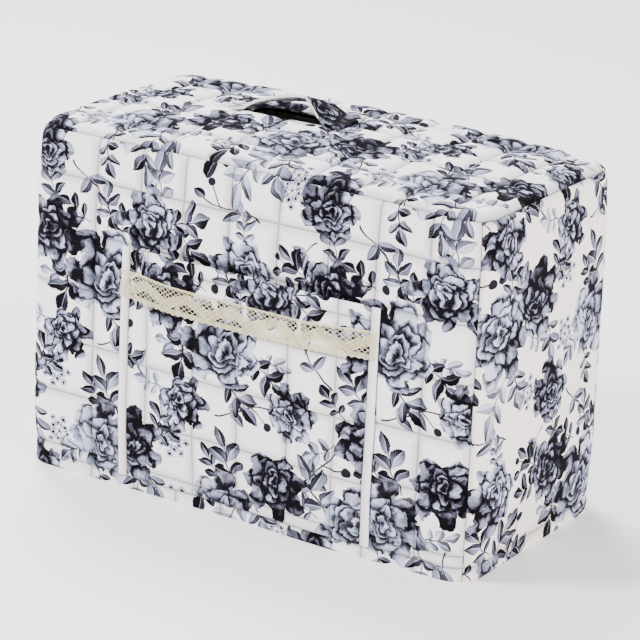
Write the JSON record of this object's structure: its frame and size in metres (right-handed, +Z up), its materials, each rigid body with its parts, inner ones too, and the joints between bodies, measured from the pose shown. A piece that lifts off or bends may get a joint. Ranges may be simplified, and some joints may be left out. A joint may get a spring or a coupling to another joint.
{
  "type": "sewing machine cover",
  "caption": "Boxy quilted cloth cover, hollow and open below, with a lace-trimmed front pocket, a slot in its top and a soft handle strap over it.",
  "frame": {"origin": "centre of the cover's box on the surface that its hem stands on", "axes": "+Z up, X along the cover's length, the front with the pocket faces -Y"},
  "size_m": [0.461, 0.243, 0.3397],
  "materials": {
    "quilted_print": "quilted cotton, white with blue-grey and navy roses",
    "plain_print": "plain-woven cotton, the same rose print, not quilted",
    "pocket_print": "quilted cotton with turned white side edges",
    "lace": "cream cotton crochet lace, matt",
    "strap_print": "folded printed cotton, light at its edges"
  },
  "bodies": {
    "root": {"front_panel": "quilted_print", "back_panel": "quilted_print", "top_panel": "quilted_print", "left_end": "plain_print", "right_end": "plain_print", "pocket": "pocket_print", "lace_trim": "lace", "handle_strap": "strap_print"}
  },
  "joints": []
}
